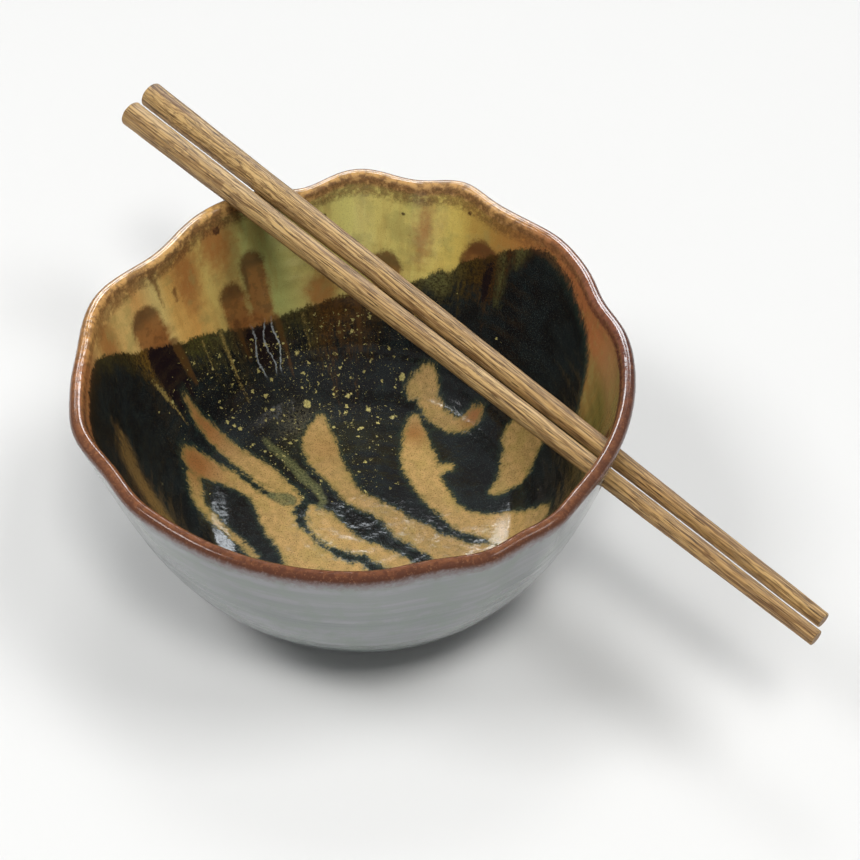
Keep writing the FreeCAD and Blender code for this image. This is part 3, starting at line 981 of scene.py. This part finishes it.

    # three wavering pale threads under the middle drips: a painted reflection of a lamp in the glaze
    reflection_threads = 0.0
    for name in ("reflection_thread_a", "reflection_thread_b", "reflection_thread_c"):
        off = g.math("ABSOLUTE", g.add(g.value(name), g.centred(mid, 2.2)))
        reflection_threads = g.math("MAXIMUM", g.step(g.mul(off, -1.0), -0.42, -0.12), reflection_threads)
    reflection_threads = g.mul(g.mul(reflection_threads, g.value("reflection_thread_span")), g.step(fine, 0.30, 0.55))
    ground = g.mix(g.mul(reflection_threads, 0.9), ground, rgba((170, 178, 180)))

    # outside: grey-blue glaze breaking purple-brown under the lip
    height = g.node("ShaderNodeSeparateXYZ", {"Vector": place}).outputs["Z"]
    wide = g.noise(g.scaled(place, (0.05, 0.05, 0.7)), 0.40, 3.0, 0.6)
    brushed = g.noise(g.scaled(place, (0.02, 0.02, 1.0)), 0.8, 2.0, 0.5)
    shell = g.mix(g.step(wide, 0.38, 0.62), rgba((120, 127, 126)), rgba((136, 138, 142)))
    shell = g.mix(g.step(cloud, 0.42, 0.64, 0.7), shell, rgba((118, 130, 121)))
    shell = g.mix(g.step(brushed, 0.52, 0.72, 0.35), shell, rgba((104, 108, 114)))
    shell = g.mix(g.step(sand, 0.60, 0.76, 0.20), shell, rgba((92, 96, 94)))
    # painted light and shade: the outside is paler towards the top and darker towards the bottom of the
    # belly
    shell = g.mix(g.step(height, 40.0, 60.0, 0.22), shell, rgba((170, 171, 170)))
    shell = g.mix(g.step(g.mul(height, -1.0), -30.0, -8.0, 0.50), shell, rgba((88, 94, 90)))
    break_line = g.add(g.mul(edge, -1.0), g.add(g.centred(fine, 2.4), g.centred(mid, 5.0)))
    fade = g.step(break_line, 2.6, 7.5)
    shell = g.mix(fade, rgba((112, 92, 90)), shell)
    skin = g.mix(inner_side, shell, ground)

    # glaze pulled thin over the lip shows the clay's iron
    off_top = g.math("ABSOLUTE", g.sub(edge, 0.5))
    lip_band = g.add(off_top, g.add(g.centred(fine, 2.2), g.centred(mid, 2.6)))
    on_lip = g.step(g.mul(lip_band, -1.0), -4.2, -2.7)
    flank = g.mix(0.66, g.colour("lip"), rgba((50, 28, 28)))
    outward = g.step(g.add(g.mul(edge, -1.0), g.centred(mid, 3.0)), -0.6, 1.8)
    lip = g.mix(g.mul(outward, 0.9), g.colour("lip"), flank)
    lip = g.mix(g.step(mid, 0.42, 0.60, 0.60), lip, flank)
    lip = g.mix(g.step(fine, 0.54, 0.68, 0.35), lip, rgba((172, 120, 80)))
    skin = g.mix(on_lip, skin, lip)
    band = g.add(edge, g.add(g.centred(mid, 5.0), g.centred(fine, 3.0)))
    band = g.mul(g.step(band, 0.9, 2.2), g.step(g.mul(band, -1.0), -8.2, -6.0))
    band = g.mul(g.mul(band, g.value("stripe")), g.step(mid, 0.30, 0.52))
    blotch = g.mix(g.step(fine, 0.44, 0.60), rgba((92, 62, 42)), rgba((138, 98, 60)))
    skin = g.mix(g.mul(band, 0.68), skin, blotch)
    hole = g.add(g.value("hole"), g.centred(fine, 1.6))
    skin = g.mix(g.step(g.mul(hole, -1.0), -1.7, -0.6), skin, rgba((104, 64, 44)))

    # bare clay under the foot
    clay = g.mix(g.step(fine, 0.35, 0.65), rgba((156, 124, 94)), rgba((124, 94, 70)))
    clay = g.mix(g.step(sand, 0.55, 0.75, 0.6), clay, rgba((84, 62, 48)))
    bare_line = g.add(height, g.centred(mid, 1.8))
    bare = g.mul(g.value("foot"), g.step(g.mul(bare_line, -1.0), -2.6, -1.9))
    skin = g.mix(bare, skin, clay)

    shine = g.blend(g.step(fine, 0.3, 0.8), 0.09, 0.16)
    shine = g.blend(g.mul(inside_tan, inner_side), shine, 0.15)
    shine = g.blend(on_lip, shine, 0.10)
    shine = g.blend(bare, shine, 0.85)
    relief = g.add(g.mul(inside_tan, 0.10), g.mul(dots, 0.14))
    relief = g.add(relief, g.mul(upper_here, 0.10))
    relief = g.add(relief, g.mul(reflection_threads, 0.12))
    relief = g.add(relief, g.mul(fine, 0.05))
    relief = g.add(relief, g.mul(g.mul(cloud, 0.55), inner_side))
    relief = g.add(relief, g.mul(g.mul(mid, 0.045), inner_side))
    relief = g.add(relief, g.mul(g.mul(brushed, 0.014), g.sub(1.0, inner_side)))
    relief = g.add(relief, g.mul(g.mul(mid, on_lip), 0.03))
    relief = g.add(relief, g.mul(g.mul(sand, bare), 0.25))
    soft = g.bump(relief, 0.6, 0.001)
    return g.finish(Base_Color=skin, Roughness=shine, Normal=soft, IOR=1.52)


def wood_material(name, seed):
    g = Graph(name)
    grain = g.node("ShaderNodeVectorMath", {0: g.vector("grain"), 1: (seed, seed * 2.3, seed * 7.0)},
                   operation="ADD").outputs[0]
    parts = g.node("ShaderNodeSeparateXYZ", {"Vector": grain})
    drift = g.noise(g.scaled(grain, (0.10, 0.10, 0.012)), 1.0, 2.0, 0.5)
    figure = g.noise(g.scaled(grain, (0.34, 0.34, 0.09)), 1.0, 3.0, 0.6, 0.5)
    streaks = g.noise(g.scaled(grain, (1.5, 1.5, 0.022)), 1.0, 2.0, 0.6)
    lines = g.noise(g.scaled(grain, (3.4, 3.4, 0.050)), 1.0, 2.0, 0.6)
    hair = g.noise(g.scaled(grain, (7.0, 7.0, 0.10)), 1.0, 1.0, 0.5)
    pores = g.noise(g.scaled(grain, (5.0, 5.0, 0.16)), 1.0, 1.0, 0.5)
    wild = g.mul(g.centred(figure, 5.0), g.value("wild"))
    layer = g.add(g.mul(parts.outputs[0], 0.85), g.add(g.mul(drift, 7.0), wild))
    bands = g.math("MULTIPLY_ADD", g.math("SINE", g.mul(layer, 6.2832)), 0.5, 0.5)
    base = g.mix(g.step(drift, 0.35, 0.68), rgba((202, 168, 110)), rgba((176, 140, 88)))
    base = g.mix(g.step(streaks, 0.46, 0.66, 0.70), base, rgba((112, 78, 48)))
    base = g.mix(g.step(bands, 0.55, 0.98, 0.62), base, rgba((106, 74, 44)))
    base = g.mix(g.step(lines, 0.53, 0.61, 0.80), base, rgba((88, 58, 34)))
    base = g.mix(g.step(hair, 0.56, 0.70, 0.50), base, rgba((214, 186, 140)))
    dark_pore = g.step(pores, 0.60, 0.67, 0.9)
    base = g.mix(dark_pore, base, rgba((58, 38, 24)))
    end = g.value("end")
    rings = g.noise(g.scaled(grain, (2.2, 2.2, 0.0)), 1.0, 3.0, 0.6)
    cut = g.mix(g.step(rings, 0.4, 0.65), rgba((150, 118, 80)), rgba((104, 74, 46)))
    base = g.mix(end, base, cut)
    rough = g.blend(lines, 0.50, 0.66)
    relief = g.sub(g.mul(lines, 0.06), g.mul(dark_pore, 0.10))
    soft = g.bump(relief, 0.5, 0.001)
    return g.finish(Base_Color=base, Roughness=rough, Normal=soft, IOR=1.45)


# ================================================================ chopsticks

STICK_RINGS = 150
STICK_SIDES = 56
END_ROUND = 0.35


def stick_mesh(name, seed, material):
    """A turned stick on its CAD centre line, slightly uneven as hand-finished wood is."""
    (butt, butt_radius), (tip, tip_radius) = STICKS[name]
    axis = tip - butt
    length = np.linalg.norm(axis)
    axis = axis / length
    side = np.cross([0.0, 0.0, 1.0], axis)
    side /= np.linalg.norm(side)
    up = np.cross(axis, side)
    rng = np.random.default_rng(seed)
    phase = rng.uniform(0.0, 6.28, 6)

    stations = []
    for turn in np.linspace(0.0, math.pi / 2, 6):
        stations.append((END_ROUND * (1 - math.cos(turn)), -END_ROUND * (1 - math.sin(turn))))
    for s in np.linspace(END_ROUND, length - END_ROUND, STICK_RINGS)[1:-1]:
        stations.append((s, 0.0))
    for turn in np.linspace(math.pi / 2, 0.0, 6):
        stations.append((length - END_ROUND * (1 - math.cos(turn)),
                         -END_ROUND * (1 - math.sin(turn))))
    butt_full = CAD_END_RADIUS["butt"]
    tip_full = CAD_END_RADIUS["tip"]
    angle = np.arange(STICK_SIDES) * 2 * math.pi / STICK_SIDES
    xyz, grain, end = [], [], []
    for s, less in stations:
        t = s / length
        full = butt_full + (tip_full - butt_full) * t
        uneven = 0.035 * math.sin(s * 0.11 + phase[0]) + 0.02 * math.sin(s * 0.31 + phase[1])
        oval = 0.03 * np.cos(2 * angle + phase[2] + s * 0.02)
        facet = 0.02 * np.cos(5 * angle + phase[3] + s * 0.008)
        radius = full + less + (uneven + oval + facet) * (1.0 if less == 0.0 else 0.3)
        bow = 0.06 * math.sin(math.pi * t)
        centre = butt + axis * s + up * bow
        cos, sin = np.cos(angle) * radius, np.sin(angle) * radius
        xyz.append(centre + np.outer(cos, side) + np.outer(sin, up))
        grain.append(np.stack([cos, sin, np.full(STICK_SIDES, s)], -1))
        end.append(np.zeros(STICK_SIDES))
    rings = len(stations)
    faces = []
    for j in range(rings - 1):
        for i in range(STICK_SIDES):
            m = (i + 1) % STICK_SIDES
            a, b = j * STICK_SIDES, (j + 1) * STICK_SIDES
            faces.append((a + i, a + m, b + m, b + i))
    total = rings * STICK_SIDES
    # flat sawn ends, as three rings and a middle point
    for ring, flip in ((0, True), (rings - 1, False)):
        s = stations[ring][0]
        rim = xyz[ring]
        centre = rim.mean(0)
        previous = np.arange(ring * STICK_SIDES, (ring + 1) * STICK_SIDES)
        for share in (0.995, 0.66, 0.33):
            here = centre + (rim - centre) * share
            cos, sin = (here - centre) @ side, (here - centre) @ up
            xyz.append(here)
            grain.append(np.stack([cos, sin, np.full(STICK_SIDES, s)], -1))
            end.append(np.ones(STICK_SIDES))
            ids = np.arange(total, total + STICK_SIDES)
            for i in range(STICK_SIDES):
                m = (i + 1) % STICK_SIDES
                quad = (previous[i], previous[m], ids[m], ids[i])
                faces.append(quad[::-1] if flip else quad)
            previous = ids
            total += STICK_SIDES
        xyz.append(centre[None])
        grain.append(np.array([[0.0, 0.0, s]]))
        end.append(np.ones(1))
        for i in range(STICK_SIDES):
            m = (i + 1) % STICK_SIDES
            tri = (previous[i], previous[m], total)
            faces.append(tri[::-1] if flip else tri)
        total += 1
    faces = [tuple(int(q) for q in f) for f in faces]
    grain = np.concatenate(grain)
    wild = 0.35 + (1.0 if seed == 11 else 0.3) * (1.0 - smooth(30.0, 75.0, grain[:, 2]))
    fields = {"grain": grain, "end": np.concatenate(end), "wild": wild}
    return make_object(name + "_wood", np.concatenate(xyz), faces, fields, material)


CAD_END_RADIUS = {"butt": 3.8, "tip": 2.175}


# ================================================================ stage, light and camera

def stage_floor():
    """Pale sweep that the bowl stands on."""
    g = Graph("paper_sweep")
    place = g.node("ShaderNodeTexCoord").outputs["Object"]
    tone = g.mix(g.noise(place, 3.0, 2.0), rgba((227, 227, 226)), rgba((230, 230, 229)))
    g.finish(Base_Color=tone, Roughness=0.9, IOR=1.3)
    size, steps = 6.0, 40
    xs = np.linspace(-size / 2, size / 2, steps)
    verts = [(x, y, 0.0) for y in xs for x in xs]
    faces = [(j * steps + i, j * steps + i + 1, (j + 1) * steps + i + 1, (j + 1) * steps + i)
             for j in range(steps - 1) for i in range(steps - 1)]
    mesh = bpy.data.meshes.new("paper_sweep")
    mesh.from_pydata(verts, [], faces)
    mesh.materials.append(g.material)
    floor = bpy.data.objects.new("paper_sweep", mesh)
    bpy.context.scene.collection.objects.link(floor)


def area_light(name, place, target, size, power, colour):
    data = bpy.data.lights.new(name, "AREA")
    data.shape = "RECTANGLE"
    data.size, data.size_y = size
    data.energy = power
    data.color = colour
    lamp = bpy.data.objects.new(name, data)
    lamp.location = place
    lamp.rotation_euler = (Vector(target) - Vector(place)).to_track_quat("-Z", "Y").to_euler()
    bpy.context.scene.collection.objects.link(lamp)
    return lamp


LAMP_AIM = Vector((0.0, 0.0, 0.03))
LAMP_DISTANCE = 2.6
# name, azimuth, elevation, width and height, power, colour, what it is seen by
LAMPS = [
    ("top_front", -79.0, 68.0, (0.56, 0.56), 21.5, (1.0, 0.99, 0.97), "diffuse"),
    ("left", 184.0, 54.0, (0.90, 0.90), 28.0, (1.0, 1.0, 1.0), "diffuse"),
    ("right", -6.0, 63.0, (0.90, 0.90), 24.5, (1.0, 1.0, 1.0), "diffuse"),
    ("back", 90.0, 62.0, (0.70, 0.70), 8.5, (1.0, 1.0, 1.0), "diffuse"),
    # bright panes that only the gloss of the glaze shows
    ("window", 88.0, 32.8, (2.60, 0.84), 85.0, (0.90, 0.95, 1.0), "gloss"),
    ("left_glint", 188.0, 56.0, (0.95, 0.16), 9.0, (1.0, 1.0, 1.0), "gloss"),
    ("right_glint", -4.0, 60.0, (0.95, 0.16), 4.5, (1.0, 1.0, 1.0), "gloss"),
]
WORLD_STRENGTH = 0.22


def light_scene():
    world = bpy.data.worlds.new("studio")
    world.use_nodes = True
    back = world.node_tree.nodes["Background"]
    back.inputs["Color"].default_value = (0.97, 0.985, 1.0, 1.0)
    back.inputs["Strength"].default_value = WORLD_STRENGTH
    bpy.context.scene.world = world
    for name, azimuth, elevation, size, power, colour, seen_by in LAMPS:
        a, e = math.radians(azimuth), math.radians(elevation)
        way = Vector((math.cos(a) * math.cos(e), math.sin(a) * math.cos(e), math.sin(e)))
        lamp = area_light(name, LAMP_AIM + way * LAMP_DISTANCE, LAMP_AIM, size, power, colour)
        lamp.visible_glossy = seen_by == "gloss"
        lamp.visible_diffuse = seen_by == "diffuse"


CAMERA_ELEVATION = 45.67
CAMERA_DISTANCE = 0.64145
RIM_CENTRE = Vector((-0.0022, 0.0, 0.0685))
LENS = 100.86
AIM_YAW = -1.8024
AIM_PITCH = -1.5546
AIM_ROLL = 0.33


def make_camera():
    tilt = math.radians(CAMERA_ELEVATION)
    forward = Vector((0.0, math.cos(tilt), -math.sin(tilt)))
    right = Vector((1.0, 0.0, 0.0))
    up = right.cross(forward)
    place = RIM_CENTRE - forward * CAMERA_DISTANCE
    yaw = Matrix.Rotation(math.radians(AIM_YAW), 3, up)
    forward, right = yaw @ forward, yaw @ right
    pitch = Matrix.Rotation(math.radians(AIM_PITCH), 3, right)
    forward, up = pitch @ forward, pitch @ up
    roll = Matrix.Rotation(math.radians(AIM_ROLL), 3, forward)
    right, up = roll @ right, roll @ up
    data = bpy.data.cameras.new("camera")
    data.lens = LENS
    data.sensor_width = 36.0
    data.clip_start = 0.01
    data.clip_end = 50.0
    camera = bpy.data.objects.new("camera", data)
    turn = Matrix((right, up, -forward)).transposed().to_4x4()
    camera.matrix_world = Matrix.Translation(place) @ turn
    bpy.context.scene.collection.objects.link(camera)
    bpy.context.scene.camera = camera


# ================================================================ build

def build():
    glaze = glaze_material()
    xyz, faces, data, edge, part = bowl_mesh()
    bowl = make_object("bowl_glazed", xyz, faces, glaze_fields(xyz, data, edge, part), glaze)
    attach(bowl, "bowl")
    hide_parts("bowl")
    for name, seed in (("chopstick_back", 11), ("chopstick_front", 23)):
        stick = stick_mesh(name, seed, wood_material(name + "_grain", float(seed)))
        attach(stick, name)
        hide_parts(name)


build()
stage_floor()
light_scene()
make_camera()
bpy.context.scene.view_settings.view_transform = "Standard"
